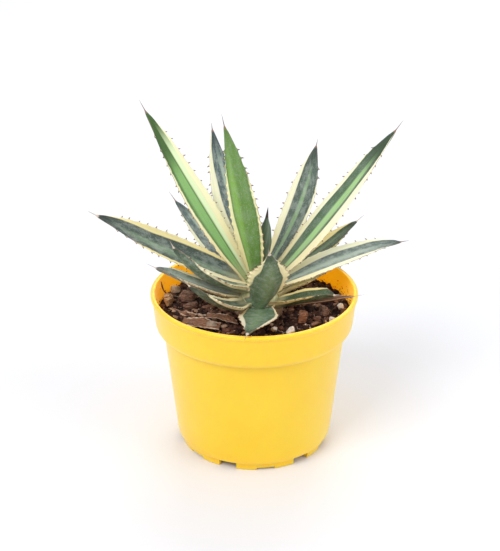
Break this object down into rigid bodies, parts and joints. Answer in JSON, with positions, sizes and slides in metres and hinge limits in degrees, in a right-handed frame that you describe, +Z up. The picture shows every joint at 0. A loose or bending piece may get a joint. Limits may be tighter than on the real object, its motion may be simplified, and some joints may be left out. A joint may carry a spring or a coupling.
{
  "type": "potted agave",
  "caption": "Small agave with toothed, cream-edged succulent leaves on a short stem, planted in a round plastic nursery pot with a lip, a collar and a notched foot.",
  "frame": {"origin": "on the surface that the pot stands on, on the pot's axis, which is also under the middle of the whole plant's box", "axes": "+Z up along the pot's axis; the plant's front, with its short front leaf, faces -Y; +X to the right seen from the front"},
  "size_m": [0.1852, 0.1316, 0.2088],
  "materials": {
    "yellow_plastic": "satin",
    "potting_mix": "matte",
    "green_leaf": "satin",
    "stem_tissue": "matte",
    "dry_leaf": "matte",
    "bark": "matte",
    "tan_bark": "matte",
    "beige_stone": "matte",
    "grey_stone": "matte",
    "white_stone": "matte"
  },
  "bodies": {
    "root": {"pot": "yellow_plastic", "soil": "potting_mix", "stem": "stem_tissue", "leaf_furled_spear": "green_leaf", "leaf_tall_front": "green_leaf", "leaf_tall_left": "green_leaf", "leaf_back_tall": "green_leaf", "leaf_back_right_tall": "green_leaf", "leaf_long_right": "green_leaf", "leaf_left_long": "green_leaf", "leaf_right": "green_leaf", "leaf_left_curved": "green_leaf", "leaf_back_left": "green_leaf", "leaf_back_right_short": "green_leaf", "leaf_front_short": "green_leaf", "leaf_left_low": "green_leaf", "leaf_back_middle": "green_leaf", "leaf_right_back_low": "green_leaf", "leaf_right_low": "green_leaf", "leaf_front_left_low": "green_leaf", "leaf_back_low_left": "green_leaf", "leaf_back_low_right": "green_leaf", "leaf_front_bottom": "green_leaf", "leaf_dry": "dry_leaf", "pebble_beige": "beige_stone", "bark_chip_tan": "tan_bark", "bark_lump_left": "bark", "bark_chip_left": "bark", "bark_chip_front": "bark", "pebble_grey_front": "grey_stone", "pebble_white_small": "white_stone", "pebble_white_front": "white_stone", "bark_chip_right": "tan_bark", "pebble_white_right": "white_stone", "bark_chip_far_right": "bark", "pebble_white_far_right": "white_stone", "bark_chip_back": "bark", "pebble_beige_back": "beige_stone", "dry_curl_long": "dry_leaf", "dry_curl_short": "dry_leaf", "twig_at_wall": "dry_leaf"}
  },
  "joints": []
}
